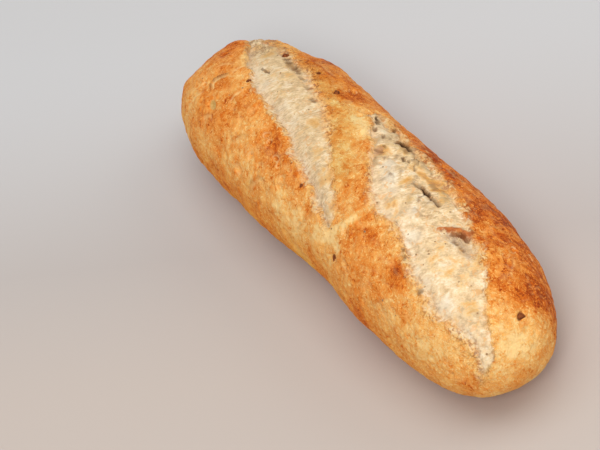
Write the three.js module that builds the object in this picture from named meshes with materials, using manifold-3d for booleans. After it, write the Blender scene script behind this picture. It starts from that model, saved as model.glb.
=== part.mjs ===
// A short multigrain baguette, baked on its flat underside and opened by two slanting slashes.
// Millimetres. X runs along the loaf, +Y to the side that the slashes start from, +Z up.
// The origin is the bottom centre of the loaf's box.
import * as THREE from "three";
import { mergeVertices } from "three/addons/utils/BufferGeometryUtils.js";
import Module from "manifold-3d";

// ---- The loaf ----
const LENGTH = 265;
const WIDTH = 76;
const HEIGHT = 57.5;
const WIDEST_LEVEL = 0.42 * HEIGHT; // the sides are widest at this height
const UNDERSIDE_DROP = 1.15 * WIDEST_LEVEL; // a round underside would reach this far down: the table cuts it
const BLUNT_TIP = { start: 5.24, round: 2.31 }; // powers of the plan outline at the -X tip
const SOFT_TIP = { start: 3.9, round: 2.09 }; // and at the +X tip
const HEIGHT_START = 3.8; // power by which the height falls towards both tips
const SIDE_POWER = 2.15; // a section's upper half is a superellipse of this power
const UNDERSIDE_POWER = 2.6;
const BOW = 4.3; // the loaf's middle bows towards +Y by this much
const SWAY = 1; // and it sways a little to either side
const WAIST = { depth: 0.035, x: 6, reach: 22 }; // the slight waist at the bridge between the slashes

// Low swellings and dents of the crust: x, y, height, reach.
const SWELLS = [
  [26, -38, -0.9, 15],
  [50, -38, 1.3, 15],
  [-11, -38, 0.9, 14],
  [-22, 38, -0.9, 16],
  [-70, 38, 1, 20],
  [-104, 18, -1.4, 9],
  [-90, 30, -1.3, 12],
  [-124, -10, -2.2, 9],
  [-108, 14, -0.7, 8],
  [-90, -38, 0.8, 20],
  [128, -8, 0.9, 14],
  [-120, 9, 1.3, 4],
  [-122, -19, 1.1, 2.5],
  [-105, -25, 0.7, 4],
];

// ---- The slashes ----
// stations: x, y of the edge with the raised lip, y of the other edge.
// The crumb has burst up out of each slash, lowest under the lip and nearly flush at the other edge.
const LONG_SLASH = {
  stations: [
    [-124, 16, 19],
    [-114, 13, 21],
    [-104, 9.5, 21.5],
    [-91, 2.7, 20.5],
    [-62, -7, 16.5],
    [-36, -9, 9.3],
    [-22, -14.6, 4.6],
    [-8, -16.4, -2.2],
    [12, -22, -13.5],
    [27, -25.5, -24.5],
  ],
  depth: 2.4,
  flushDepth: 0.4,
  lip: 1.1,
  farLip: 0.2,
};
const WIDE_SLASH = {
  stations: [
    [-26, 29, 31],
    [-10, 21, 28.5],
    [13, 6.5, 26.5],
    [30, -4, 25.5],
    [58, -8, 22],
    [88, -16.5, 13],
    [102, -16.3, 6.5],
    [114, -15, -3],
    [131, -14, -12],
  ],
  depth: 1.8,
  flushDepth: 1.2,
  lip: 0.8,
  farLip: 0.7,
};
const SLASHES = [LONG_SLASH, WIDE_SLASH];
const SLASH_WALL = 2.6; // width of the step at either edge of a slash
const LIP_REACH = 7; // the raised crust beside a slash falls away over this width
const SLASH_END = 14; // a slash runs out over this length at either end
const CRUMB_SWELL = 0.9; // the burst crumb is convex across the slash
const SINK_POWER = 1.5; // how fast its floor rises from the lip

// A flap of crumb stands up across the wide slash: the points along its curled edge, and along the
// hollow beside it.
const CURL = {
  line: [[67, 7.5], [68.4, 9.6], [71.2, 12], [74.6, 14], [79, 15.6], [84, 17]],
  tipWidth: 1.2,
  rootWidth: 3.6,
  height: 1.4,
};
const HOLLOW = { line: [[71, 8], [75.5, 9.6], [80, 10.4], [86, 9.4]], width: 2.6, depth: 1 };

// The widest cracks in the crumb: x and y of both ends, width, depth.
const CRACKS = [
  [4, 24.5, 7.4, 26.2, 1.4, 2.4],
  [6.6, 26.2, 13.7, 25.2, 1.4, 2.4],
  [35.5, 13.5, 40.5, 14.9, 1.6, 1.3],
  [39.5, 14.8, 49.5, 14.2, 1.6, 2],
  [48, 14.2, 54.6, 14.8, 1.8, 1.6],
  [71.4, 10, 74.8, 12.3, 1.1, 1.6],
  [74.4, 12.3, 79, 13.3, 1.1, 1.6],
];

// ---- The grains ----
// Baked-in kernels that stand out singly: x, y, length, width, turn.
const NAMED_GRAINS = [
  [-84.6, -22.4, 7, 4, -0.5],
  [-78, -4.2, 3, 1.8, 1.2],
  [-84.8, 18.3, 4.2, 3.4, 1.5],
  [-61, 22.5, 3, 2.2, 0.9],
  [-41.6, 20.7, 3.8, 3, 1.4],
  [-47.3, -31.7, 8.2, 4.6, 2.1],
  [-4.7, -20.5, 3, 1.9, 0.9],
  [31.5, -28.8, 4.2, 2.2, 0.6],
  [119, 9.8, 5.4, 2.6, 2.4],
  [122, -10.4, 3.8, 2.6, 0.3],
];
const SCATTERED_GRAINS = 22;
const GRAIN_LENGTH = [3.4, 5.6];
const GRAIN_SLENDERNESS = [0.5, 0.75]; // width over length
const GRAIN_RISE = 0.42; // height above the crust, over the grain's width
const GRAIN_SEED = 21;

// ---- The mesh ----
const ALONG = 90; // rings from tip to tip
const AROUND = 50;
const EVEN_SHARE = 0.3; // rings crowd towards the tips by the rest
const TOP_CROWDING = 0.35; // points crowd towards the top of each ring
const SLANT = 0.009; // radians per mm: the mesh's long lines follow the slashes over the top
const MERGE_DISTANCE = 1e-4;

const { smoothstep } = THREE.MathUtils;
const bell = (distance, reach) => Math.exp(-((distance / reach) ** 2));
const signedPower = (value, power) => Math.sign(value) * Math.abs(value) ** power;

// A smooth curve through the stations: the value of one column at x.
function along(stations, x, column) {
  const last = stations.length - 1;
  const slope = (i) => {
    const before = stations[Math.max(i - 1, 0)];
    const after = stations[Math.min(i + 1, last)];
    return (after[column] - before[column]) / (after[0] - before[0]);
  };
  if (x <= stations[0][0]) {
    return stations[0][column];
  }
  if (x >= stations[last][0]) {
    return stations[last][column];
  }
  const i = stations.findIndex((station) => station[0] > x) - 1;
  const span = stations[i + 1][0] - stations[i][0];
  const t = (x - stations[i][0]) / span;
  const bend = (1 - t) * slope(i) * span;
  const rest = t * slope(i + 1) * span;
  const blend = t * t * (3 - 2 * t);
  return (1 - blend) * stations[i][column] + blend * stations[i + 1][column] + t * (1 - t) * (bend - rest);
}

// 0 beyond the two ends of a row of stations, 1 well inside them.
function within(stations, x, end) {
  const first = stations[0][0];
  const last = stations[stations.length - 1][0];
  return smoothstep(x, first, first + end) * (1 - smoothstep(x, last - end, last));
}

// ---- The loaf's plain form ----
function halfWidth(x) {
  const tip = x < 0 ? BLUNT_TIP : SOFT_TIP;
  const reach = Math.abs(x) / (LENGTH / 2);
  const outline = Math.max(0, 1 - reach ** tip.start) ** (1 / tip.round);
  return (WIDTH / 2) * outline * (1 - WAIST.depth * bell(x - WAIST.x, WAIST.reach));
}

function heightShare(x) {
  return Math.sqrt(Math.max(0, 1 - (Math.abs(x) / (LENGTH / 2)) ** HEIGHT_START));
}

function centreLine(x) {
  const u = x / (LENGTH / 2);
  return BOW * (1 - u * u) + SWAY * Math.sin(Math.PI * u);
}

// ---- The relief on it, as a height along the outward direction ----
function slashRelief(slash, x, y) {
  const lipEdge = along(slash.stations, x, 1);
  const farEdge = along(slash.stations, x, 2);
  const across = THREE.MathUtils.clamp((y - lipEdge) / Math.max(farEdge - lipEdge, 0.1), 0, 1);
  const sink = slash.flushDepth + (slash.depth - slash.flushDepth) * (1 - across) ** SINK_POWER;
  const floor = CRUMB_SWELL * Math.sin(Math.PI * across) - sink;
  const beside = y < lipEdge ? slash.lip * Math.exp((y - lipEdge) / LIP_REACH) : 0;
  const beyond = y > farEdge ? slash.farLip * Math.exp((farEdge - y) / LIP_REACH) : 0;
  const inside =
    smoothstep(y, lipEdge - SLASH_WALL / 2, lipEdge + SLASH_WALL / 2) *
    (1 - smoothstep(y, farEdge - SLASH_WALL / 2, farEdge + SLASH_WALL / 2));
  return within(slash.stations, x, SLASH_END) * ((1 - inside) * (beside + beyond) + inside * floor);
}

function distanceTo(line, x, y) {
  let nearest = Infinity;
  for (let i = 1; i < line.length; i += 1) {
    const [startX, startY] = line[i - 1];
    const [wayX, wayY] = [line[i][0] - startX, line[i][1] - startY];
    const share = ((x - startX) * wayX + (y - startY) * wayY) / Math.hypot(wayX, wayY) ** 2;
    const t = THREE.MathUtils.clamp(share, 0, 1);
    nearest = Math.min(nearest, Math.hypot(x - startX - t * wayX, y - startY - t * wayY));
  }
  return nearest;
}

function flapRelief(x, y) {
  const [tipX] = CURL.line[0];
  const [rootX] = CURL.line[CURL.line.length - 1];
  const share = THREE.MathUtils.clamp((x - tipX) / (rootX - tipX), 0, 1);
  const width = THREE.MathUtils.lerp(CURL.tipWidth, CURL.rootWidth, share);
  const ridge = CURL.height * bell(distanceTo(CURL.line, x, y), width);
  return ridge - HOLLOW.depth * bell(distanceTo(HOLLOW.line, x, y), HOLLOW.width);
}

function relief(x, y) {
  let height = flapRelief(x, y);
  for (const [atX, atY, rise, reach] of SWELLS) {
    height += rise * bell(Math.hypot(x - atX, y - atY), reach);
  }
  for (const slash of SLASHES) {
    height += slashRelief(slash, x, y);
  }
  return height;
}

// The crust at x and an angle round the loaf, from +Y over the top. The underside lies flat at z = 0.
function crustPoint(x, angle) {
  const side = signedPower(Math.cos(angle), 2 / SIDE_POWER);
  const upper = Math.sin(angle) >= 0;
  const drop = upper ? HEIGHT - WIDEST_LEVEL : UNDERSIDE_DROP;
  const lift = signedPower(Math.sin(angle), 2 / (upper ? SIDE_POWER : UNDERSIDE_POWER));
  const middle = centreLine(x);
  const level = WIDEST_LEVEL + drop * heightShare(x) * lift;
  const plain = new THREE.Vector3(x, middle + halfWidth(x) * side, level);
  const outward = new THREE.Vector3(0, plain.y - middle, plain.z - WIDEST_LEVEL).normalize();
  const bump = upper ? relief(x, plain.y) : relief(x, plain.y) * (1 + lift);
  const point = plain.addScaledVector(outward, bump);
  point.z = Math.max(point.z, 0);
  return { point, outward };
}

function loafGeometry() {
  const geometry = new THREE.SphereGeometry(1, AROUND, ALONG);
  const position = geometry.attributes.position;
  const onSphere = new THREE.Vector3();
  for (let i = 0; i < position.count; i += 1) {
    onSphere.fromBufferAttribute(position, i);
    const station = 1 - (2 / Math.PI) * Math.acos(THREE.MathUtils.clamp(onSphere.y, -1, 1));
    const u = EVEN_SHARE * station + (1 - EVEN_SHARE) * Math.sin((Math.PI / 2) * station);
    const x = (LENGTH / 2) * u;
    const straight = Math.atan2(onSphere.x, onSphere.z);
    const turn = straight + (SLANT * x * (1 + Math.sin(straight))) / 2;
    const { point } = crustPoint(x, turn + TOP_CROWDING * Math.cos(turn));
    position.setXYZ(i, point.x, point.y, point.z);
  }
  return geometry;
}

// ---- Grains, fused to the crust ----
function seededRandom(seed) {
  let state = seed;
  return () => {
    state = (state + 0x6d2b79f5) | 0;
    let t = Math.imul(state ^ (state >>> 15), 1 | state);
    t = (t + Math.imul(t ^ (t >>> 7), 61 | t)) ^ t;
    return ((t ^ (t >>> 14)) >>> 0) / 2 ** 32;
  };
}

// The angle round the loaf at which the upper crust lies over (x, y).
function angleOver(x, y) {
  const side = THREE.MathUtils.clamp((y - centreLine(x)) / halfWidth(x), -0.98, 0.98);
  return Math.acos(signedPower(side, SIDE_POWER / 2));
}

function grainGeometry([x, y, length, width, turn]) {
  const { point, outward } = crustPoint(x, angleOver(x, y));
  const geometry = new THREE.SphereGeometry(0.5, 6, 4).scale(length, width, 2 * GRAIN_RISE * width);
  const upright = new THREE.Quaternion().setFromUnitVectors(new THREE.Vector3(0, 0, 1), outward);
  return geometry.rotateZ(turn).applyQuaternion(upright).translate(point.x, point.y, point.z);
}

// A narrow cut from one end of a crack to the other.
function crackGeometry([startX, startY, endX, endY, width, depth]) {
  const { point: start } = crustPoint(startX, angleOver(startX, startY));
  const { point: end, outward } = crustPoint(endX, angleOver(endX, endY));
  const way = end.clone().sub(start);
  const across = outward.clone().cross(way).normalize();
  const geometry = new THREE.SphereGeometry(0.5, 8, 6).scale(way.length() + width, width, 2 * depth);
  way.normalize();
  const pose = new THREE.Matrix4().makeBasis(way, across, way.clone().cross(across));
  return geometry.applyMatrix4(pose.setPosition(start.lerp(end, 0.5)));
}

function scatteredGrains() {
  const random = seededRandom(GRAIN_SEED);
  const between = ([low, high]) => low + (high - low) * random();
  const onSlash = (x, y) =>
    SLASHES.some(({ stations }) => {
      const margin = 4 * within(stations, x, 1);
      return margin > 0 && y > along(stations, x, 1) - margin && y < along(stations, x, 2) + margin;
    });
  const grains = [];
  while (grains.length < SCATTERED_GRAINS) {
    const x = (random() - 0.5) * 0.86 * LENGTH;
    const y = centreLine(x) + (2 * random() - 1) * 0.94 * halfWidth(x);
    const length = between(GRAIN_LENGTH);
    const width = length * between(GRAIN_SLENDERNESS);
    const turn = random() * Math.PI;
    if (!onSlash(x, y)) {
      grains.push([x, y, length, width, turn]);
    }
  }
  return grains;
}

// ---- One solid ----
const wasm = await Module();
wasm.setup();

function solidOf(geometry) {
  geometry.deleteAttribute("normal");
  geometry.deleteAttribute("uv");
  const merged = mergeVertices(geometry, MERGE_DISTANCE);
  const vertProperties = new Float32Array(merged.attributes.position.array);
  const triVerts = new Uint32Array(merged.index.array);
  return new wasm.Manifold(new wasm.Mesh({ numProp: 3, vertProperties, triVerts }));
}

function geometryOf(solid) {
  const { vertProperties, triVerts } = solid.getMesh();
  const geometry = new THREE.BufferGeometry();
  geometry.setAttribute("position", new THREE.BufferAttribute(new Float32Array(vertProperties), 3));
  geometry.setIndex(new THREE.BufferAttribute(new Uint32Array(triVerts), 1));
  return geometry;
}

function loaf() {
  const grains = [...NAMED_GRAINS, ...scatteredGrains()].map(grainGeometry);
  const fused = wasm.Manifold.union([loafGeometry(), ...grains].map(solidOf));
  const cracks = wasm.Manifold.union(CRACKS.map(crackGeometry).map(solidOf));
  const bodies = fused.subtract(cracks).decompose();
  const [body] = bodies.sort((a, b) => b.volume() - a.volume());
  const geometry = geometryOf(body);
  geometry.computeBoundingBox();
  const { min, max } = geometry.boundingBox;
  geometry.translate(-(min.x + max.x) / 2, -(min.y + max.y) / 2, -min.z);
  geometry.computeVertexNormals();
  const crust = new THREE.MeshStandardMaterial({ color: 0xd08a48, roughness: 0.72, metalness: 0 });
  const mesh = new THREE.Mesh(geometry, crust);
  mesh.name = "loaf";
  return mesh;
}

const baguette = new THREE.Group();
baguette.name = "baguette";
baguette.add(loaf());

export default baguette;
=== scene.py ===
"""A short multigrain baguette with two slashes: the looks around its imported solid.

The loaf's form is worked out again here, from the same named sizes as its solid, on a mesh
fine enough for crust, crumb, cracks and grains. It is in millimetres, Blender's sizes in metres.
"""

import math
from itertools import product

import bmesh
import bpy
import numpy as np
from mathutils import Matrix, Vector


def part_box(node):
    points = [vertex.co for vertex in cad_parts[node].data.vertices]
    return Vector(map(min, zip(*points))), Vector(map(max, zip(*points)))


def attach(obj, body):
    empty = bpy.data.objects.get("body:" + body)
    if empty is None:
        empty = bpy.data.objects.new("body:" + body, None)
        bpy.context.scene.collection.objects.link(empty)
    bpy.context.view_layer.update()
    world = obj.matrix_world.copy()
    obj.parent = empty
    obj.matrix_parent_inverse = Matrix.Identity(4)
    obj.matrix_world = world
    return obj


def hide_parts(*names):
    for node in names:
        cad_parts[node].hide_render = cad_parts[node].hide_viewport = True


MM = 0.001
TINY = 1e-12

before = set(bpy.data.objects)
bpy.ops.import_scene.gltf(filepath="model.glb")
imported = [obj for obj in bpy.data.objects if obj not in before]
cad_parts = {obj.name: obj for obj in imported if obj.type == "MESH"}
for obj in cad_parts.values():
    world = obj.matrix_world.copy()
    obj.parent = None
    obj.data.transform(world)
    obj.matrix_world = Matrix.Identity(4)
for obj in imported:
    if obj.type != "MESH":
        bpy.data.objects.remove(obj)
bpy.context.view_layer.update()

# ---- The loaf's form: the same values as the solid's ----
LENGTH, WIDTH, HEIGHT = 265, 76, 57.5
WIDEST_LEVEL = 0.42 * HEIGHT
UNDERSIDE_DROP = 1.15 * WIDEST_LEVEL
BLUNT_TIP, SOFT_TIP = (5.24, 2.31), (3.9, 2.09)  # powers of the plan outline at -X and +X
HEIGHT_START = 3.8
SIDE_POWER, UNDERSIDE_POWER = 2.15, 2.6
BOW, SWAY = 4.3, 1
WAIST_DEPTH, WAIST_X, WAIST_REACH = 0.035, 6, 22
SWELLS = [  # x, y, reach, height
    (26, -38, 15, -0.9), (50, -38, 15, 1.3), (-11, -38, 14, 0.9), (-22, 38, 16, -0.9),
    (-70, 38, 20, 1), (-104, 18, 9, -1.4), (-90, 30, 12, -1.3), (-124, -10, 9, -2.2),
    (-108, 14, 8, -0.7), (-90, -38, 20, 0.8), (128, -8, 14, 0.9), (-120, 9, 4, 1.3),
    (-122, -19, 2.5, 1.1), (-105, -25, 4, 0.7),
]

# Stations: x, y of the edge with the raised lip, y of the other edge. A fringe is the width of
# the singed strip along an edge. The far edge's changes to END_FRINGE past fringe_end.
LONG_SLASH = {
    "stations": [
        (-124, 16, 19), (-114, 13, 21), (-104, 9.5, 21.5), (-91, 2.7, 20.5), (-62, -7, 16.5),
        (-36, -9, 9.3), (-22, -14.6, 4.6), (-8, -16.4, -2.2), (12, -22, -13.5), (27, -25.5, -24.5),
    ],
    "lip_fringe": 1.8, "far_fringe": 7, "fringe_end": -30,
    "depth": 2.4, "flush_depth": 0.4, "lip": 1.1, "far_lip": 0.2,
}
WIDE_SLASH = {
    "stations": [
        (-26, 29, 31), (-10, 21, 28.5), (13, 6.5, 26.5), (30, -4, 25.5), (58, -8, 22),
        (88, -16.5, 13), (102, -16.3, 6.5), (114, -15, -3), (131, -14, -12),
    ],
    "lip_fringe": 3.4, "far_fringe": 4.5, "fringe_end": 45,
    "depth": 1.8, "flush_depth": 1.2, "lip": 0.8, "far_lip": 0.7,
}
SLASHES = (LONG_SLASH, WIDE_SLASH)
SLASH_WALL = 2.6
LIP_REACH = 7
SLASH_END = 14
CRUMB_SWELL = 0.9
SINK_POWER = 1.5
NEAR_LIP_REACH = 3
END_FRINGE, FRINGE_FADE = 2.4, 20
ALL_CRUST = -8  # stands for a distance in from the edges where there is no slash

# Cracks in the crumb: the points along each, its width, depth and the darkness of its painted
# shade
CRACKS = [
    ([(4, 24.5), (5.4, 25.8), (7.1, 26.3), (10.6, 25.5), (13.7, 25.2)], 0.75, 2.4, 1.5),
    ([(35.5, 13.5), (39.5, 14.8)], 0.9, 1.3, 0.45),
    ([(39.5, 14.8), (44.4, 14.5), (48.9, 14.2)], 0.8, 2, 0.95),
    ([(48.9, 14.2), (54.6, 14.8)], 1.1, 1.6, 0.6),
    ([(71.4, 10), (73.6, 11.6), (76, 12.9), (79, 13.3)], 0.55, 1.6, 0.9),
    ([(75.4, 8), (77.4, 8.6)], 0.7, 0.8, 0.5), ([(79.6, 9), (81.6, 9.2)], 0.6, 0.8, 0.5),
    ([(64.2, -10), (65.4, -10.5)], 0.5, 0.8, 0.6), ([(67, -11.7), (68.4, -12.3)], 0.55, 0.8, 0.6),
    ([(84.6, -16.3), (86, -16.9)], 0.6, 0.8, 0.6), ([(-19.4, 28.1), (-16.6, 26.9)], 0.45, 1, 0.8),
    ([(-15.4, 26.3), (-12.8, 25.4)], 0.6, 1.2, 0.9), ([(-10.2, 22.4), (-8, 21.5)], 0.45, 0.8, 0.6),
    ([(-3.4, 22.1), (-0.6, 21)], 0.6, 0.8, 0.45), ([(4.4, 18.7), (6.4, 17.8)], 0.45, 0.8, 0.6),
    ([(3.8, 14.2), (5.4, 14.5), (7.8, 15.8)], 0.5, 0.9, 0.7),
    ([(-7, 28.8), (-4.6, 28)], 0.55, 1, 0.7), ([(16.2, 20.9), (18.4, 19.8)], 0.4, 0.8, 0.6),
    ([(19.6, 21.4), (21.8, 20.2)], 0.4, 0.8, 0.65), ([(18.9, 24.2), (21, 23)], 0.4, 0.8, 0.65),
    ([(22.3, 23.8), (24.6, 22.8)], 0.4, 0.8, 0.65), ([(24.6, 20.8), (27.8, 19.4)], 0.6, 0.9, 0.6),
    ([(-81, 16.2), (-79.4, 17.6)], 0.7, 0.6, 0.55), ([(-78, 15.4), (-75.8, 17)], 0.7, 0.7, 0.6),
    ([(-75.2, 15.2), (-73.4, 16.6)], 0.8, 0.8, 0.65),
    ([(-72.6, 14.8), (-70, 16.4)], 0.8, 0.9, 0.7), ([(-69, 14.6), (-66.6, 15.8)], 0.8, 0.9, 0.6),
    ([(-65.6, 14.2), (-64, 15.2)], 0.6, 0.7, 0.5),
    ([(-61.4, 13.4), (-57.4, 14.2)], 0.6, 0.6, 0.45), ([(-54, 11.6), (-51, 12.4)], 0.6, 0.5, 0.35),
    ([(-43.5, 9.2), (-40, 9.4)], 0.7, 0.6, 0.45),
    ([(-82, 5), (-79, 5.6), (-75.6, 5.5)], 0.4, 0.8, 0.5),
]
# In crack widths: how far aside its line of painted shade is, how wide, and how far the painted
# shade reaches
CRACK_ASIDE, CRACK_SPREAD, CRACK_SHADE_REACH = 0.25, 2.7, 2.5
OFF_CRACKS = 4
# The curled edge of the flap in the wide slash, and the hollow beside it, which the crumb's tints
# also fill with painted shade
CURL = [(67, 7.5), (68.4, 9.6), (71.2, 12), (74.6, 14), (79, 15.6), (84, 17)]
CURL_WIDTH = (1.2, 3.6)  # at its tip and at its root
CURL_HEIGHT = 1.4
HOLLOW = [(71, 8), (75.5, 9.6), (80, 10.4), (86, 9.4)]
HOLLOW_WIDTH, HOLLOW_DEPTH = 2.6, 1
TORN_STRIP, TORN_FROM_Y = [(-30, 0), (75, 0)], (3, 9)  # where the wide slash's crumb is torn
BETWEEN_SLOPE, BETWEEN_Y = 0.45, 6  # the line y + slope * x = y0 parts the two slashes
FAR_TIP = (-88, -98)  # the long slash turns rough between these x

# Grains: x, y, length, width, turn, kind
NAMED_GRAINS = [
    (-84.6, -22.4, 7, 4, -0.5, "pale"), (-78, -4.2, 3, 1.8, 1.2, "brown"),
    (-84.8, 18.3, 4.2, 3.4, 1.5, "round"), (-61, 22.5, 3, 2.2, 0.9, "brown"),
    (-41.6, 20.7, 3.8, 3, 1.4, "round"), (-47.3, -31.7, 8.2, 4.6, 2.1, "crusted"),
    (-4.7, -20.5, 3, 1.9, 0.9, "brown"), (31.5, -28.8, 4.2, 2.2, 0.6, "brown"),
    (119, 9.8, 5.4, 2.6, 2.4, "brown"), (122, -10.4, 3.8, 2.6, 0.3, "pale"),
]
SCATTERED_GRAINS = 22
GRAIN_AREA = (0.86, 0.94)  # the share of the length and of the width that they lie on
GRAIN_MARGIN = 4  # clear of the slashes
GRAIN_LEVEL = 20  # grains lie above this height
GRAIN_LENGTH = (3.4, 5.6)
GRAIN_SLENDERNESS = (0.5, 0.75)
GRAIN_RISE = 0.42
GRAIN_COVER = 0.8  # the share of its rise that shows through the crust
SEED_RISE = {"brown": 0.34, "round": 0.62}
SEED_UNEVENNESS = 0.12
GRAIN_SEED = 21
SPECKS = 44
SPECK_AREA = (0.47, 0.9)  # of the length and of the half width, each way from the middle
SPECK_LENGTH = (0.6, 1.2)
SPECK_SLENDERNESS = (0.5, 0.9)
SPECK_RISE = 0.3
SPECK_SEED = 5
DROPPED_CRUST_SPECKS = 0.85  # the share of the specks beside the slashes that is left out

# Folds in the crust: the strength of ridge and furrow, and the points along them
CREASES = [
    (1.2, 1.2, [(-92.4, -17.2), (-95.4, -15), (-95.2, -12.6), (-93.2, -10.2), (-91, -8.6)]),
    (1.1, 0.2, [(-101.5, -27.5), (-100.3, -24.5), (-99, -22.4), (-96.6, -20.8)]),
    (0.9, 0.2, [(-75, -16.8), (-75.6, -13.4), (-74.6, -10)]),
    (0.7, 0.3, [(-91.5, -6), (-90.3, -2.3), (-89, 1.5)]),
    (0.6, 0.3, [(-103, -8), (-100.4, -4.5), (-97.4, -2.6)]),
    (0.4, 0.4, [(-85, -28), (-81, -26), (-78, -26.5)]),
    (0.4, 0.4, [(-57, -27), (-53, -23.5), (-50, -22.5)]),
    (0.4, 0.4, [(-36, -33), (-31, -29.5), (-27, -29)]),
    (0.4, 0.4, [(-68, 28), (-63, 27), (-57, 28)]), (0.3, 0.3, [(4, -31), (8, -28), (10, -24.5)]),
    (0.3, 0.3, [(65, -31), (70, -29), (74, -29.5)]), (0.3, 0.3, [(94, 24), (98, 22), (101, 18.5)]),
    (0.4, 0.4, [(29, 33.5), (36, 33), (42, 34)]),
]
CREASE_WIDTH, CREASE_HEIGHT, CREASE_FADE = 0.55, 0.75, 3
FURROW_ASIDE = 1.9  # in widths of the crease
# Where the crust was stretched pale: the points along each strip, and its width
STRETCHED = [
    ([(16, -27), (24, -26), (29, -21), (33.5, -13.5), (35.3, -7)], 2.6),
    ([(27, -25), (34, -26.5)], 2), ([(-98, 5), (-91, 1)], 3), ([(-19, 18), (-6, 17.5)], 4),
]
# The middle of the strip between the slashes that stayed tan
TANNED = [(-70, 21), (-45, 18), (-25, 14), (-10, 4), (6, -5)]
TANNED_WIDTH = 9

FLANK_TOAST_AND_SHADE, LOW_TOAST_AND_SHADE = 0.42, 0.06  # how much darker the right flank and the lower sides are: deeper bake, partly painted shade
# Where the crust baked darker (+) or paler (-), and where some paler blots on the lower rims paint
# light: x, y, reach, amount
TOAST_AND_LIGHT_BLOTS = [
    (6, -25, 3.5, 0.3), (30, -3, 4.5, 0.34), (33, -11, 5, 0.2), (68, -15.5, 3.5, 0.34),
    (76, -19, 4, 0.36), (-33, -18, 6, 0.28), (-24, -19, 5, 0.24), (-12, -21.5, 5, 0.2),
    (-11, -17.6, 2.5, 0.35), (-4, -19, 2.5, 0.35), (3, -31, 7, -0.45), (-57, -11, 4, 0.25),
    (-27, 13, 3.5, 0.2), (-40, -33, 5, -0.15), (22, -21, 3, -0.15), (46, -16, 4, 0.2),
    (84, -20, 6, -0.15), (55, -30, 5, 0.15), (92, -30, 7, -0.2), (76, -29, 7, -0.2),
    (-70, -8, 4, 0.2), (-91, 1, 5, 0.2), (-31, 12, 3, 0.35), (-20, 21, 4, -0.2), (-8, 16, 6, -0.2),
    (20, 1, 4, 0.2), (44, -22, 6, 0.3), (38, -16.5, 6, 0.2), (-74, -18, 7, 0.16),
    (112, 14, 6, 0.2), (-58, 33, 8, 0.2), (-58, 21, 4, 0.4), (-72, 30, 8, 0.2), (-36, 30, 7, 0.16),
    (69, 26, 9, 0.26), (86, 25, 9, 0.16), (98, 20, 8, 0.14), (110, 25, 9, 0.16),
    (-119, 7, 5, 0.42), (-111, -1, 5, 0.25), (-122, -3, 8, 0.2), (48, 31, 10, -0.08),
    (10, 32, 6, 0.3), (21, 29, 5, 0.45), (32, 28.5, 5, 0.45), (43, 26.5, 3.5, 0.3),
    (-4, 34, 10, 0.16), (-34, 36, 12, 0.1), (-80, 33, 14, 0.2), (-22, 17, 5, -0.1),
    (-19, 11, 4, 0.1), (-14, 4.5, 4, 0.25), (-4.5, 1, 4.5, -0.3), (3.5, -6.5, 4.5, -0.2),
    (-32, 17, 4, -0.2), (-61, 31, 8, -0.12), (-1, -6, 9, 0.06), (126, 0, 9, -0.22),
    (122, -10, 8, -0.25), (114, -18, 8, -0.08), (62, 25, 6, 0.2), (110, 21, 7, 0.2),
    (89, 21, 5, -0.25), (50, -15, 5, 0.15), (-101, -22, 6, 0.08), (-99, -32, 6, -0.3),
    (-82, -36, 8, -0.25), (82, 16, 4, 0.25), (99, 18, 5, 0.14), (103, 10, 4, 0.2),
    (115, 19, 5, 0.25), (77, 30, 6, -0.16), (66, 31, 6, -0.16), (101, 29, 5, -0.1),
    (70, -19, 4, 0.28), (53, -18, 5, 0.1), (43, -26.5, 6, -0.15), (34, -33, 6, -0.15),
    (63, -30, 5, 0.04), (-67, -22, 7, 0.2), (30, -30, 6, -0.2), (9, -2, 4, -0.15),
    (-8, 6, 6, 0.12), (99, -25, 8, -0.2), (127, 6, 7, -0.2), (-26, -30, 7, -0.2),
    (-10, -29, 6, -0.22), (-38, -30, 6, -0.12), (-38, 22, 5, 0.3), (-47, 17, 5, 0.2),
    (118, 14, 7, -0.12), (-97, 24, 9, -0.2), (-50, 33, 12, 0.16), (-80, -32, 8, 0.14),
]
# Where the crumb was singed gold (+) or stayed white (-): x, y, reach, amount
SINGED = [
    (80, 1, 5, 0.6), (88, -4, 6, 0.6), (74, -2, 4, 0.5), (103, -6, 5, 0.5), (44, 20, 3, 1.6),
    (45.7, 22.5, 2.5, 2.2), (38.5, 23.2, 3, 1.8), (44, 7, 2.5, 1.2), (32.4, 12.4, 2.5, 1.6),
    (52, 19, 4, 1), (10, 13, 4, 1), (6, 16.5, 4, 1.8), (23, 21, 5, 1.3), (12, 22.5, 3, 1),
    (33, 20, 5, 1), (39.5, -1, 2.5, 2), (-28, 0.5, 4, 1), (-15, 2.5, 3, 1), (-46, 8, 3, 1),
    (-90, 12, 5, 1.2), (-105, 15, 5, 1.8), (5, 12, 3, 1), (-12, -6, 4, 0.8), (-1, -8.5, 4, 1.2),
    (4, -12.5, 3, 1.4), (17, -18.5, 3, 1.4), (-66, 10, 4, 1), (17, 13, 6, -0.9), (26, 8, 5, -0.8),
    (34, 4, 5, -0.6), (50, 4, 6, -0.6), (62, -3, 6, -0.7), (84, -12, 5, -0.6), (98, -12, 6, -0.8),
    (-70, 0, 5, -0.7), (-50, -3, 5, -0.6), (-36, -4, 4, -0.6), (-84, 4, 5, -0.5),
]

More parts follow.
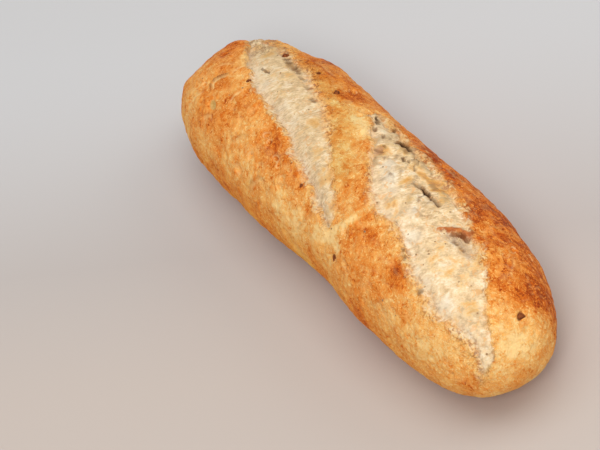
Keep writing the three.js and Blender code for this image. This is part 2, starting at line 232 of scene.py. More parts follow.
# ---- Fine relief ----
# Noises: the amount, size and seed of each
NEAR_EDGE_NOISE = [(1.2, 7, 11), (0.7, 2.6, 12)]
FAR_EDGE_NOISE = [(1.6, 9, 13), (0.8, 3, 14)]
CREASE_WANDER = [(0.5, 3, 15)]
CRACK_NOISE = [(0.4, 5, 21), (0.35, 2, 22)]
BROAD_NOISE = [(0.7, 42, 41), (0.4, 18, 42), (0.3, 8, 43)]
FINE_NOISE = [(0.25, 5, 47), (0.17, 3.2, 44), (0.12, 1.9, 45)]
STRAND_NOISE = [(0.15, 1.9, 61), (0.2, 1, 62)]
LUMP_NOISE = [(0.55, 6, 63), (0.38, 2.8, 64), (0.2, 1.6, 66)]
FIBRE_WANDER = [(0.35, 26, 67)]
FIBRE_TURN = math.radians(66)  # the burst crumb's strands run this way across the slashes
FIBRE_STRETCH, FIBRE_FLATNESS = 5, 0.5
BLISTER_SIZE, BLISTER_HEIGHT = 3.4, 0.26
PEBBLE_SIZE, PEBBLE_HEIGHT = 1.9, 0.22
WRINKLE_SIZE, WRINKLE_HEIGHT = 5.5, 0.2
PIT_SIZE, PIT_DEPTH = 1.9, 0.7
RUFFLE_SIZE = 1.8
TIP_LUMP_SIZE, TIP_ROUGHNESS = 2.2, 0.8
FLOOR_DENT_SIZE, FLOOR_DENT = 3, 0.25
CELL_SCATTER = 0.42

# ---- The mesh ----
RINGS = 430
AROUND = 232
FINE_STEPS = 20001  # for spacing the rings and the points round them evenly
FLANK_LEVEL, FLOOR_LEVEL = 36, 6  # the flanks are between these heights
FLANK_SHARE, FLOOR_SHARE = 0.8, 0.4  # how fine flanks and underside are, against the top
FAR_OFF = 1e6
WELD_DISTANCE = 1e-7  # metres

# ---- Colours: display values from 0 to 255, places on a ramp from 0 to 1 ----
PLAIN_TOAST = 0.46  # the middle of the crust's ramp
CRUST_STOPS = [
    (0, (250, 208, 140)), (0.22, (243, 180, 98)), (0.45, (235, 151, 68)), (0.65, (222, 124, 38)),
    (0.85, (197, 90, 18)), (1, (154, 60, 14)),
]
FRINGE_STOPS = [
    (0.3, (184, 108, 46)), (0.42, (224, 152, 72)), (0.54, (240, 182, 102)), (0.7, (248, 208, 142)),
]
CREAM_STOPS = [
    (0.3, (206, 173, 130)), (0.43, (230, 198, 152)), (0.54, (240, 211, 167)),
    (0.66, (250, 232, 200)),
]
SINGED_STOPS = [(0.6, (244, 198, 118)), (0.8, (226, 164, 78)), (1, (184, 116, 48))]
KERNEL_STOPS = [(0.35, (172, 142, 76)), (0.65, (214, 184, 118))]
SEED_STOPS = [(0.35, (84, 40, 22)), (0.65, (160, 88, 48))]
FLAP_STOPS = [(0.35, (148, 58, 14)), (0.65, (208, 116, 42))]
# The floor: plain, then darker with a painted shadow, then warmer with a painted reflection of
# bread
FLOOR_SHADE_STOPS = [(0, (200, 199, 199)), (0.65, (187, 179, 174)), (1, (194, 182, 173))]
GRAIN_BROWNS = (92, 40, 16), (146, 80, 38)
SPECK_BROWNS = (146, 108, 74), (190, 152, 110)
# Painted shade in the low spaces between the gold fringe's granules
FRINGE_GAP_SHADE = (146, 78, 28)
# Painted shade in the cracks: a brown rim, very dark inside, and dark red-brown in the slit under
# the flap's curl
CRACK_RIM_SHADE = (156, 106, 60)
CRACK_SHADE_BLACK, FLAP_SLIT_SHADE = (38, 18, 8), (96, 34, 10)
# Colours that others are multiplied by
# The lower sides: deeper orange, a painted warm reflection of bread
LOW_WARM_REFLECTION = (255, 226, 148)
TAN_FILTER = (238, 250, 255)
DEEP_FRINGE_FILTER = (250, 226, 190)
# Laid over crust and crumb in this order: how much shows, and the colour
CRUST_TINTS = [
    # wrinkle and crease crests are paler skin, partly a painted highlight; the furrow beside each
    # crease is painted shade
    ("wrinkle", 0.22, (250, 208, 138)), ("crease", 0.8, (252, 214, 148)),
    ("furrow", 0.6, (136, 70, 28)), ("grain_rim", 0.5, (252, 212, 146)),
]
# The tints along the lip, in the hollow, in cavities, between strands and in pits are painted
# shade, cast by the raised lip and flap and lying in the crumb's low places
CRUMB_TINTS = [
    ("white", 0.6, (232, 222, 202)), ("peach", 0.6, (234, 174, 108)),
    ("green", 0.5, (190, 164, 104)), ("rough_tip", 0.85, (150, 96, 44)),
    ("dull", 0.35, (196, 168, 126)), ("near_lip", 0.5, (228, 211, 186)),
    ("hollow", 0.7, (164, 140, 122)), ("cavity", 0.75, (182, 150, 108)),
    ("strand_gap_shade", 0.7, (140, 110, 84)), ("pits", 0.7, (136, 104, 74)),
]

# ---- The set ----
FLOOR_SIZE = 12
FLOOR_TURN, FLOOR_CHANGE = 36, (-0.16, 0.11)  # degrees, and where its colour turns from plain to painted shadow and a painted warm reflection
SOFTBOXES = [  # name, place, size, power
    ("softbox_top", (0.1, 0.0, 1.8), 1.8, 16.2),
    ("softbox_left", (1.2, -0.8, 1.3), 0.6, 12.4),
    ("softbox_right", (0.2, 1.6, 1.1), 1.2, 6.2),
]
WORLD_STRENGTH = 0.47

# ---- Camera ----
CAMERA_ANGLES = (70, 42, -17)  # azimuth, elevation and roll, in degrees
CAMERA_DISTANCE = 1.25
CAMERA_TARGET = (0, 0, 30)
IMAGE_WIDTH, IMAGE_HEIGHT = 600, 450
TARGET_PIXEL = (356.9, 201.7)  # where the target lies in the picture
FOCAL_PIXELS = 2855
SENSOR_WIDTH = 36


# ---- Numbers ----
def ease(low, high, value):
    """0 at low, 1 at high, with a smooth change between them."""
    t = np.clip((value - low) / (high - low), 0, 1)
    return t * t * (3 - 2 * t)


def bell(distance, reach):
    return np.exp(-((distance / reach) ** 2))


def signed_power(value, power):
    return np.sign(value) * np.abs(value) ** power


def hashed(cell, seed):
    """A random number from -1 to 1 for each whole-number cell."""
    h = seed * 2654435761
    for axis, factor in enumerate((73856093, 19349663, 83492791)):
        h = h ^ cell[..., axis] * factor
    for shift, factor in ((13, 1274126177), (15, 2246822519)):
        h = ((h ^ (h >> shift)) * factor) & 0xFFFFFFFF
    return (h >> 8 & 0xFFFF) / 32767.5 - 1


def noise(points, size, seed):
    """Smooth noise from -1 to 1, whose bumps are about size across."""
    p = points / size
    cell = np.floor(p).astype(np.int64)
    f = p - cell
    f = f**3 * (f * (f * 6 - 15) + 10)
    total = 0
    for corner in product((0, 1), repeat=3):
        weight = np.prod(np.where(corner, f, 1 - f), axis=-1)
        total = total + weight * hashed(cell + corner, seed)
    return total


def layers(points, table):
    """Noises added up: the amount, size and seed of each."""
    return sum(amount * noise(points, size, seed) for amount, size, seed in table)


def blots(x, y, table):
    """Soft round blots added up: x, y, reach and amount of each."""
    return sum(amount * bell(np.hypot(x - a, y - b), reach) for a, b, reach, amount in table)


def ridges(points, size, seed):
    """Narrow winding ridges: 1 on their crests, falling to 0."""
    return 1 - np.abs(noise(points, size, seed)) - 0.3 * np.abs(noise(points, size / 2, seed + 1))


def cells(points, size, seed):
    """Distance to the nearest scattered point, in cell sizes, and its random number."""
    p = points / size
    home = np.floor(p).astype(np.int64)
    near = np.full(p.shape[:-1], np.inf)
    number = np.zeros_like(near)
    for offset in product((-1, 0, 1), repeat=3):
        cell = home + offset
        aside = np.stack([hashed(cell, seed + k) for k in range(3)], axis=-1)
        distance = np.linalg.norm(p - (cell + 0.5 + CELL_SCATTER * aside), axis=-1)
        number = np.where(distance < near, hashed(cell, seed + 3), number)
        near = np.minimum(near, distance)
    return near, number


def along(stations, x, column):
    """A smooth curve through the stations: the value of one column at each x."""
    table = np.array(stations, float)
    at, values = table[:, 0], table[:, column]
    before = np.concatenate([[0], np.arange(len(at) - 1)])
    after = np.concatenate([np.arange(1, len(at)), [len(at) - 1]])
    slopes = (values[after] - values[before]) / (at[after] - at[before])
    x = np.clip(x, at[0], at[-1])
    i = np.clip(np.searchsorted(at, x, side="right") - 1, 0, len(at) - 2)
    span = at[i + 1] - at[i]
    t = (x - at[i]) / span
    blend = t * t * (3 - 2 * t)
    bend = (1 - t) * slopes[i] * span - t * slopes[i + 1] * span
    return (1 - blend) * values[i] + blend * values[i + 1] + t * (1 - t) * bend


def within(stations, x, end):
    """1 between the first and the last station, fading to 0 over their ends."""
    first, last = stations[0][0], stations[-1][0]
    return ease(first, first + end, x) * (1 - ease(last - end, last, x))


# ---- The plain form ----
def half_width(x):
    reach = np.abs(x) / (LENGTH / 2)
    start = np.where(x < 0, BLUNT_TIP[0], SOFT_TIP[0])
    rounding = np.where(x < 0, BLUNT_TIP[1], SOFT_TIP[1])
    outline = np.maximum(0, 1 - reach**start) ** (1 / rounding)
    return WIDTH / 2 * outline * (1 - WAIST_DEPTH * bell(x - WAIST_X, WAIST_REACH))


def height_share(x):
    return np.sqrt(np.maximum(0, 1 - (np.abs(x) / (LENGTH / 2)) ** HEIGHT_START))


def centre_line(x):
    u = x / (LENGTH / 2)
    return BOW * (1 - u * u) + SWAY * np.sin(np.pi * u)


def plain_form(x, angle):
    """Points of the plain loaf at x and an angle from +Y over the top, the way out from its
    middle, and the share of the relief that each takes."""
    side = signed_power(np.cos(angle), 2 / SIDE_POWER)
    upper = np.sin(angle) >= 0
    drop = np.where(upper, HEIGHT - WIDEST_LEVEL, UNDERSIDE_DROP)
    lift = signed_power(np.sin(angle), 2 / np.where(upper, SIDE_POWER, UNDERSIDE_POWER))
    y = centre_line(x) + half_width(x) * side
    z = WIDEST_LEVEL + drop * height_share(x) * lift
    points = np.stack([x, y, z], axis=-1)
    outward = np.stack([np.zeros_like(x), y - centre_line(x), z - WIDEST_LEVEL], axis=-1)
    outward /= np.linalg.norm(outward, axis=-1, keepdims=True) + TINY
    return points, outward, np.where(upper, 1, 1 + lift)


# ---- The slashes, cracks and creases ----
def slash_place(slash, x, y, ragged=0):
    """Distances in from a slash's edges, the share of the way across, and its reach there."""
    lip_edge = along(slash["stations"], x, 1) + ragged
    far_edge = along(slash["stations"], x, 2) + ragged
    across = np.clip((y - lip_edge) / np.maximum(far_edge - lip_edge, 0.1), 0, 1)
    return y - lip_edge, far_edge - y, across, within(slash["stations"], x, SLASH_END)


def lip(height, inward):
    """The raised lip outside a slash's edge."""
    return np.where(inward < 0, height * np.exp(np.minimum(inward, 0) / LIP_REACH), 0)


def slash_relief(slash, x, y, ragged):
    """The height a slash adds, how far inside it that is, and the distances in from its edges."""
    past_lip, before_far, across, reach = slash_place(slash, x, y, ragged)
    deeper = slash["depth"] - slash["flush_depth"]
    sink = slash["flush_depth"] + deeper * (1 - across) ** SINK_POWER
    floor = CRUMB_SWELL * np.sin(np.pi * across) - sink
    lips = lip(slash["lip"], past_lip) + lip(slash["far_lip"], before_far)
    half_wall = SLASH_WALL / 2
    inside = ease(-half_wall, half_wall, past_lip)
    inside = inside * ease(-half_wall, half_wall, before_far)
    height = reach * ((1 - inside) * lips + inside * floor)
    return height, reach * inside, past_lip, before_far


def distance_to(line, x, y):
    """How far past the ends of a line of points, and how far to its left (+) or right (-)."""
    nearest = np.full(np.shape(x), np.inf)
    past = np.zeros(np.shape(x))
    side = np.zeros(np.shape(x))
    for (ax, ay), (bx, by) in zip(line[:-1], line[1:]):
        way_x, way_y = bx - ax, by - ay
        length = math.hypot(way_x, way_y)
        share = np.clip(((x - ax) * way_x + (y - ay) * way_y) / length**2, 0, 1)
        gap = np.hypot(x - ax - share * way_x, y - ay - share * way_y)
        left = (way_x * (y - ay) - way_y * (x - ax)) / length
        past = np.where(gap < nearest, np.sqrt(np.maximum(gap**2 - left**2, 0)), past)
        side = np.where(gap < nearest, left, side)
        nearest = np.minimum(nearest, gap)
    return past, side


def off_line(line, x, y):
    """How far (x, y) is from a line of points."""
    return np.hypot(*distance_to(line, x, y))


def crease_lines(x, y, wander):
    """1 along the middle of each crease, falling to 0 beside it, and the same for its furrow."""
    line = np.zeros_like(x)
    furrow = np.zeros_like(x)
    for ridge, valley, points in CREASES:
        past, side = distance_to(points, x, y)
        side = side + wander
        ends = [np.hypot(x - a, y - b) for a, b in (points[0], points[-1])]
        fade = ease(0, CREASE_FADE, np.minimum(*ends) + 1)
        line = np.maximum(line, ridge * fade * bell(np.hypot(past, side), CREASE_WIDTH))
        beside = np.hypot(past, side - FURROW_ASIDE * CREASE_WIDTH)
        furrow = np.maximum(furrow, valley * fade * bell(beside, CREASE_WIDTH))
    return line, furrow


def cut_slashes(relief, flat, upper):
    """The relief with the slashes, where their crumb is and where it is near the lip, the
    distance in from the nearest edge, and the width of that edge's fringe."""
    x, y = flat[..., 0], flat[..., 1]
    ragged_near, ragged_far = layers(flat, NEAR_EDGE_NOISE), layers(flat, FAR_EDGE_NOISE)
    crumb = np.zeros_like(x)
    near_lip = np.zeros_like(x)
    edge = np.full_like(x, ALL_CRUST)
    fringe = np.ones_like(x)
    for slash in SLASHES:
        _, _, across, reach = slash_place(slash, x, y)
        ragged = np.where(across < 0.5, ragged_near, ragged_far)
        height, inside, past_lip, before_far = slash_relief(slash, x, y, ragged)
        relief = relief + height
        crumb = np.maximum(crumb, inside * upper)
        nearness = np.exp(-np.maximum(past_lip, 0) / NEAR_LIP_REACH)
        near_lip = np.maximum(near_lip, inside * nearness)
        depth_in = np.minimum(past_lip, before_far)
        depth_in = depth_in + ALL_CRUST * (1 - ease(0, 0.35, reach))
        ends_here = ease(slash["fringe_end"], slash["fringe_end"] + FRINGE_FADE, x)
        far_fringe = slash["far_fringe"] + (END_FRINGE - slash["far_fringe"]) * ends_here
        own_fringe = np.where(across < 0.5, slash["lip_fringe"], far_fringe)
        fringe = np.where(depth_in > edge, own_fringe, fringe)
        edge = np.maximum(edge, np.where(upper > 0, depth_in, ALL_CRUST))
    return relief, crumb, near_lip, edge, fringe


def cut_cracks(relief, flat):
    """The relief with cracks and flap, the place across the nearest crack and the darkness of the
    painted shade in it, and where the flap's curled edge and its hollow are."""
    x, y = flat[..., 0], flat[..., 1]
    loose = layers(flat, CRACK_NOISE)
    uneven = np.minimum(0.85 + 0.5 * noise(flat, 3.5, 23), 1)
    across = np.full_like(x, OFF_CRACKS)
    dark = np.zeros_like(x)
    nearest = np.full_like(x, OFF_CRACKS)
    for line, width, depth, darkness in CRACKS:
        past, side = distance_to(line, x, y)
        side = side + loose
        gap = np.hypot(past, side)
        relief = relief - depth * bell(gap, width)
        own_across = (side - CRACK_ASIDE * width) / (CRACK_SPREAD * width * max(darkness, 1))
        across = np.where(gap / width < nearest, own_across, across)
        nearest = np.minimum(nearest, gap / width)
        # where painted shade darkens each crack, uneven along it
        fade = bell(past, width) * bell(gap, CRACK_SHADE_REACH * width)
        dark = np.maximum(dark, np.minimum(darkness * uneven, 1) * fade)
    curl_width = np.interp(x, (CURL[0][0], CURL[-1][0]), CURL_WIDTH)
    curl = bell(off_line(CURL, x, y) + loose, curl_width)
    hollow = bell(off_line(HOLLOW, x, y) + loose, HOLLOW_WIDTH)
    return relief + CURL_HEIGHT * curl - HOLLOW_DEPTH * hollow, across, dark, curl, hollow


# ---- Grains ----
def seeded_random(seed):
    """The same draws as the solid's grains were placed with."""
    state = seed

    def draw():
        nonlocal state
        state = (state + 0x6D2B79F5) & 0xFFFFFFFF
        t = ((state ^ (state >> 15)) * (1 | state)) & 0xFFFFFFFF
        t = ((t + (t ^ (t >> 7)) * (61 | t)) ^ t) & 0xFFFFFFFF
        return (t ^ (t >> 14)) / 2**32

    return draw


def on_slash(x, y, margin):
    for slash in SLASHES:
        room = margin * float(within(slash["stations"], x, 1))
        low = float(along(slash["stations"], x, 1)) - room
        high = float(along(slash["stations"], x, 2)) + room
        if room > 0 and low < y < high:
            return True
    return False


def across_loaf(x, share):
    """y on the loaf at x: a share of the half width from its centre line."""
    return float(centre_line(x) + share * half_width(np.float64(x)))


def all_grains():
    draw = seeded_random(GRAIN_SEED)

    def between(low, high):
        return low + (high - low) * draw()

    grains = []
    while len(grains) < SCATTERED_GRAINS:
        x = (draw() - 0.5) * GRAIN_AREA[0] * LENGTH
        y = across_loaf(x, (2 * draw() - 1) * GRAIN_AREA[1])
        length = between(*GRAIN_LENGTH)
        width = length * between(*GRAIN_SLENDERNESS)
        turn = draw() * math.pi
        if not on_slash(x, y, GRAIN_MARGIN):
            grains.append((x, y, length, width, turn, "crusted"))
    return NAMED_GRAINS + grains


def nearest_point(grid, x, y, lowest):
    """The number of the grid's point nearest to (x, y), of those above a level."""
    too_low = np.where(grid[..., 2] > lowest, 0, FAR_OFF)
    return np.argmin((grid[..., 0] - x) ** 2 + (grid[..., 1] - y) ** 2 + too_low)


def grain_bumps(points):
    """How far the grains under the crust push it out, and where those of each kind are."""
    bumps = np.zeros(points.shape[:-1])
    kinds = {kind: np.zeros_like(bumps) for kind in ("pale", "brown", "crusted")}
    for x, y, length, width, turn, kind in all_grains():
        away = points - points.reshape(-1, 3)[nearest_point(points, x, y, GRAIN_LEVEL)]
        direction = np.array([math.cos(turn), math.sin(turn), 0])
        lengthways = away @ direction
        sideways = np.sqrt(np.maximum(0, (away**2).sum(axis=-1) - lengthways**2))
        cover = np.exp(-(((lengthways * 2 / length) ** 2 + (sideways * 2 / width) ** 2) ** 2))
        bumps = np.maximum(bumps, cover * width)
        if kind in kinds:
            kinds[kind] = np.maximum(kinds[kind], cover)
    return bumps, kinds


# ---- The grid of the loaf ----
def ring_stations():
    """x of each ring, evenly spaced along the outline, without the two tips."""
    x = np.sin(np.linspace(-1, 1, FINE_STEPS) * np.pi / 2) * LENGTH / 2
    steps = np.hypot(np.diff(x), np.diff(half_width(x)))
    length = np.concatenate([[0], np.cumsum(steps)])
    return np.interp(np.linspace(0, length[-1], RINGS + 2)[1:-1], length, x)


def ring_angles():
    """Angles round the loaf, finest over the top."""
    angle = np.linspace(-np.pi / 2, 1.5 * np.pi, FINE_STEPS)
    points, _, _ = plain_form(np.zeros_like(angle), angle)
    points[:, 2] = np.maximum(points[:, 2], 0)
    level = ((points[1:] + points[:-1]) / 2)[:, 2]
    lower_share = np.where(level > FLOOR_LEVEL, FLANK_SHARE, FLOOR_SHARE)
    share = np.where(level > FLANK_LEVEL, 1, lower_share)
    steps = share * np.linalg.norm(np.diff(points, axis=0), axis=1)
    length = np.concatenate([[0], np.cumsum(steps)])
    return np.interp(np.linspace(0, length[-1], AROUND + 1)[:-1], length, angle)


def grid_normals(grid):
    across = np.roll(grid, -1, axis=1) - np.roll(grid, 1, axis=1)
    forward = np.gradient(grid, axis=0)
    normals = np.cross(forward, across)
    return normals / (np.linalg.norm(normals, axis=-1, keepdims=True) + TINY)


def along_fibres(points):
    """The points, shrunk along the strands: noise drawn on them is long that way."""
    turn = FIBRE_TURN + layers(points, FIBRE_WANDER)
    lengthways = (np.cos(turn) * points[..., 0] + np.sin(turn) * points[..., 1]) / FIBRE_STRETCH
    sideways = -np.sin(turn) * points[..., 0] + np.cos(turn) * points[..., 1]
    return np.stack([lengthways, sideways, points[..., 2] * FIBRE_FLATNESS], axis=-1)


def crust_relief(at, wrinkle, crease, furrow):
    """The fine relief of the crust."""
    blister, blister_number = cells(at, BLISTER_SIZE, 31)
    pebble, pebble_number = cells(at, PEBBLE_SIZE, 35)
    domes = BLISTER_HEIGHT * ease(0.75, 0.1, blister) * (blister_number > 0.1)
    uneven = PEBBLE_HEIGHT * (0.6 + 0.4 * pebble_number)
    domes = domes + uneven * ease(0.7, 0.1, pebble)
    folds = CREASE_HEIGHT * crease - CREASE_HEIGHT * furrow
    return layers(at, FINE_NOISE) + domes + WRINKLE_HEIGHT * wrinkle + folds


def crumb_relief(at, crumb, near_lip):
    """The fine relief of the crumb; where painted shade darkens its hollows; its pits; and where
    it is smooth.
    """
    x, y = at[..., 0], at[..., 1]
    wide = ease(-4, 4, y + BETWEEN_SLOPE * x - BETWEEN_Y)
    torn = within(TORN_STRIP, x, 20) * ease(*TORN_FROM_Y, y) * crumb
    strands = layers(along_fibres(at), STRAND_NOISE) * (1 - 0.5 * wide)
    lumps = layers(at, LUMP_NOISE)
    # painted shade in the low places between the crumb's lumps, most where it is torn
    cavity = ease(0.1, 0.6, -lumps) * crumb * (0.15 + 0.85 * torn)
    # pits: small dents, which the crumb's tints also darken with painted shade
    pits = ease(0.4, 0.8, noise(at, PIT_SIZE, 65)) * crumb
    pits = pits * (0.2 + 0.5 * near_lip + 0.7 * torn)
    relief = crumb * (strands + lumps * (0.2 + 1.3 * torn)) - PIT_DEPTH * pits
    return relief, cavity, pits, wide * (1 - torn)


def loaf_surface():
    """The loaf's points in millimetres as a grid of rings, and what each of them looks like."""
    x, angle = np.meshgrid(ring_stations(), ring_angles(), indexing="ij")
    at, outward, share = plain_form(x, angle)
    y = at[..., 1]
    flat = np.stack([x, y, np.zeros_like(x)], axis=-1)
    upper = ease(0.5, 0.9, share) * (at[..., 2] > WIDEST_LEVEL)

    relief = blots(x, y, SWELLS)
    relief, crumb, near_lip, edge, fringe = cut_slashes(relief, flat, upper)
    relief, across_crack, crack_dark, curl, hollow = cut_cracks(relief, flat)
    points = at + outward * (relief * share)[..., None]
    points[..., 2] = np.maximum(points[..., 2], 0)
    normals = grid_normals(points)

    # fine relief along the normals
    crust = 1 - crumb
    crease, furrow = crease_lines(x, y, layers(flat, CREASE_WANDER))
    crease, furrow = crease * upper, furrow * upper
    wrinkle = ease(0.72, 1, ridges(at, WRINKLE_SIZE, 51))
    crumb_detail, cavity, pits, smooth = crumb_relief(at, crumb, near_lip)
    grain, kinds = grain_bumps(points)
    far_tip = ease(*FAR_TIP, x)
    detail = crust * crust_relief(at, wrinkle, crease, furrow) + layers(at, BROAD_NOISE)
    detail = detail + GRAIN_RISE * GRAIN_COVER * grain + crumb_detail
    ruffle = (0.22 + 0.05 * fringe) * bell(edge + 0.5 * fringe, 1 + 0.6 * fringe)
    detail = detail + ruffle * noise(at, RUFFLE_SIZE, 46)
    detail = detail + TIP_ROUGHNESS * far_tip * crumb * noise(at, TIP_LUMP_SIZE, 68)
    on_floor = ease(2.5, 0.2, points[..., 2])
    dents = FLOOR_DENT * on_floor * np.maximum(0, noise(at, FLOOR_DENT_SIZE, 71))
    detail = detail * (1 - on_floor) - dents
    at_tips = ease(0, 0.12, 1 - np.abs(x) / (LENGTH / 2) + 0.06)
    points = points + normals * (detail * at_tips)[..., None]
    points[..., 2] = np.maximum(points[..., 2], 0)

    level = points[..., 2]
    # Blots of deeper or paler bake; some paler ones on the lower rims are painted light
    baked = blots(x, y, TOAST_AND_LIGHT_BLOTS) * ease(2, 18, level)
    # The right flank: deeper bake, partly painted shade
    flank = ease(14, 36, y) * ease(-40, 40, x)
    flank = flank * (0.3 + 0.7 * ease(8, 40, level))
    # The lower sides: painted shade, and a painted warm reflection in the crust's colour
    low = ease(44, 12, level) * ease(160, 10, x)
    greenish = ease(-70, -98, x) + bell(x - 5, 25) * ease(18, 26, y)
    dull = ease(20, -20, x + 1.2 * (y + 8)) * (0.6 + 0.2 * ease(-60, -100, x))
    stretched = sum(bell(off_line(line, x, y), width) for line, width in STRETCHED)
    looks = {"edge": edge, "fringe": fringe, "low": low, "smooth": smooth, "rough_tip": far_tip}
    looks |= {"dull": dull, "hollow": hollow, "cavity": cavity, "crack": across_crack}
    looks |= {
        "baked": baked + FLANK_TOAST_AND_SHADE * flank + LOW_TOAST_AND_SHADE * low,
        "tan": bell(off_line(TANNED, x, y), TANNED_WIDTH) * upper,
        "stretched": stretched * upper,
        # pale crests, partly painted highlight, and painted shade in the furrows
        "wrinkle": wrinkle * crust, "crease": crease * crust, "furrow": furrow * crust,
        "grain": kinds["crusted"], "pale_grain": kinds["pale"], "brown_grain": kinds["brown"],
        "near_lip": near_lip * crumb,
        "singed": blots(x, y, SINGED),
        "green": 0.6 * greenish,
        "pits": np.clip(pits, 0, 1),
        "curl": curl * ease(82, 76, x),
        "crack_dark": crack_dark * upper,
    }
    return points, looks


# ---- Pieces ----
def new_object(name, data):
    thing = bpy.data.objects.new(name, data)
    bpy.context.collection.objects.link(thing)
    return thing


def with_tips(grid):
    """A grid's values in one row, then those of its two tips, the means of the end rings."""
    tips = [grid[0].mean(axis=0), grid[-1].mean(axis=0)]
    return np.concatenate([grid.reshape(-1, *grid.shape[2:]), tips])


def grid_mesh(name, grid):
    """A closed mesh over a grid of rings and two tips."""
    rings, around, _ = grid.shape
    ring, place = np.meshgrid(np.arange(rings - 1), np.arange(around), indexing="ij")
    following = (place + 1) % around
    corners = [ring * around + place, (ring + 1) * around + place]
    corners += [(ring + 1) * around + following, ring * around + following]
    faces = np.stack(corners, axis=-1).reshape(-1, 4).tolist()
    tip = rings * around
    end = (rings - 1) * around
    for i in range(around):
        j = (i + 1) % around
        faces.append([tip, i, j])
        faces.append([tip + 1, end + j, end + i])
    mesh = bpy.data.meshes.new(name)
    mesh.from_pydata((with_tips(grid) * MM).tolist(), [], faces)
    mesh.shade_smooth()
    return mesh


def grid_normal_at(grid, ring, place):
    rings, around, _ = grid.shape
    forward = grid[min(ring + 2, rings - 1), place] - grid[max(ring - 2, 0), place]
    across = grid[ring, (place + 2) % around] - grid[ring, (place - 2) % around]
    normal = np.cross(forward, across)
    return normal / np.linalg.norm(normal)


def unit_ball(segments, rows):
    """Rows of points on a ball of radius 1, from its tip at +X to its tip at -X."""
    ball = []
    for row in range(rows + 1):
        polar = math.pi * row / rows
        turns = [2 * math.pi * k / segments for k in range(segments)]
        x, radius = math.cos(polar), math.sin(polar)
        ball.append([Vector((x, radius * math.cos(a), radius * math.sin(a))) for a in turns])
    return ball


def seeds_piece(name, grid, offset, seeds, material, segments=12, rows=8):
    """One mesh of flattened seeds, each lying on the loaf at its x and y."""
    vertices, faces = [], []
    ball = unit_ball(segments, rows)
    rng = np.random.default_rng(len(seeds))
    for x, y, length, width, turn, rise in seeds:
        ring, place = np.unravel_index(nearest_point(grid, x, y, WIDEST_LEVEL), grid.shape[:2])
        point = Vector(grid[ring, place])
        normal = Vector(grid_normal_at(grid, ring, place))
        upright = Vector((0, 0, 1)).rotation_difference(normal).to_matrix()
        pose = upright @ Matrix.Rotation(turn, 3, "Z")
        uneven = 1 + SEED_UNEVENNESS * rng.standard_normal((rows + 1, segments))
        uneven[[0, rows]] = 1
        first = len(vertices)
        for row, k in product(range(rows + 1), range(segments)):
            at, swell = ball[row][k], uneven[row, k]
            local = Vector((at.x * length / 2, at.y * width / 2 * swell, at.z * rise * swell))
            vertices.append((point + pose @ local) * MM + offset)
        for row, k in product(range(rows), range(segments)):
            a = first + row * segments + k
            b = first + row * segments + (k + 1) % segments
            faces.append((a, b, b + segments, a + segments))
    mesh = bpy.data.meshes.new(name)
    mesh.from_pydata([tuple(v) for v in vertices], [], faces)
    weld = bmesh.new()
    weld.from_mesh(mesh)
    bmesh.ops.remove_doubles(weld, verts=weld.verts, dist=WELD_DISTANCE)
    bmesh.ops.recalc_face_normals(weld, faces=weld.faces)
    weld.to_mesh(mesh)
    weld.free()
    mesh.shade_smooth()
    mesh.materials.append(material)
    piece = new_object(name, mesh)
    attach(piece, "root")
    return piece


def make_grains(grid, offset):
    seeds = [g[:5] + (SEED_RISE[g[5]] * g[3],) for g in NAMED_GRAINS if g[5] in SEED_RISE]
    seeds_piece("grains_brown", grid, offset, seeds, grain_material("grain_brown", *GRAIN_BROWNS))


def make_specks(grid, offset):
    """Tiny dark seeds, mostly in the burst crumb."""
    rng = np.random.default_rng(SPECK_SEED)
    specks = []
    while len(specks) < SPECKS:
        x = rng.uniform(-SPECK_AREA[0], SPECK_AREA[0]) * LENGTH
        y = across_loaf(x, rng.uniform(-SPECK_AREA[1], SPECK_AREA[1]))
        if not on_slash(x, y, 0.1) and rng.random() < DROPPED_CRUST_SPECKS:
            continue
        length = rng.uniform(*SPECK_LENGTH)
        width = length * rng.uniform(*SPECK_SLENDERNESS)
        specks.append((x, y, length, width, rng.uniform(0, math.pi), SPECK_RISE * length))
    material = grain_material("speck", *SPECK_BROWNS)
    seeds_piece("seed_specks", grid, offset, specks, material, segments=8, rows=5)


def make_loaf():
    grid, looks = loaf_surface()
    middle = (grid.max(axis=(0, 1)) + grid.min(axis=(0, 1))) / 2
    low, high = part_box("loaf")
    offset = Vector(((low[0] + high[0]) / 2, (low[1] + high[1]) / 2, low[2]))
    offset -= Vector((middle[0] * MM, middle[1] * MM, 0))
    mesh = grid_mesh("loaf_crust", grid)
    mesh.transform(Matrix.Translation(offset))
    for name, values in looks.items():
        attribute = mesh.attributes.new(name, "FLOAT", "POINT")
        attribute.data.foreach_set("value", with_tips(values).astype(np.float32))
    return new_object("loaf_crust", mesh), grid, offset


# ---- Materials ----
def srgb(red, green, blue):
    """A shader colour from 0 to 255 display values."""
    values = [c / 255 for c in (red, green, blue)]
    linear = [c / 12.92 if c <= 0.04045 else ((c + 0.055) / 1.055) ** 2.4 for c in values]
    return (*linear, 1)


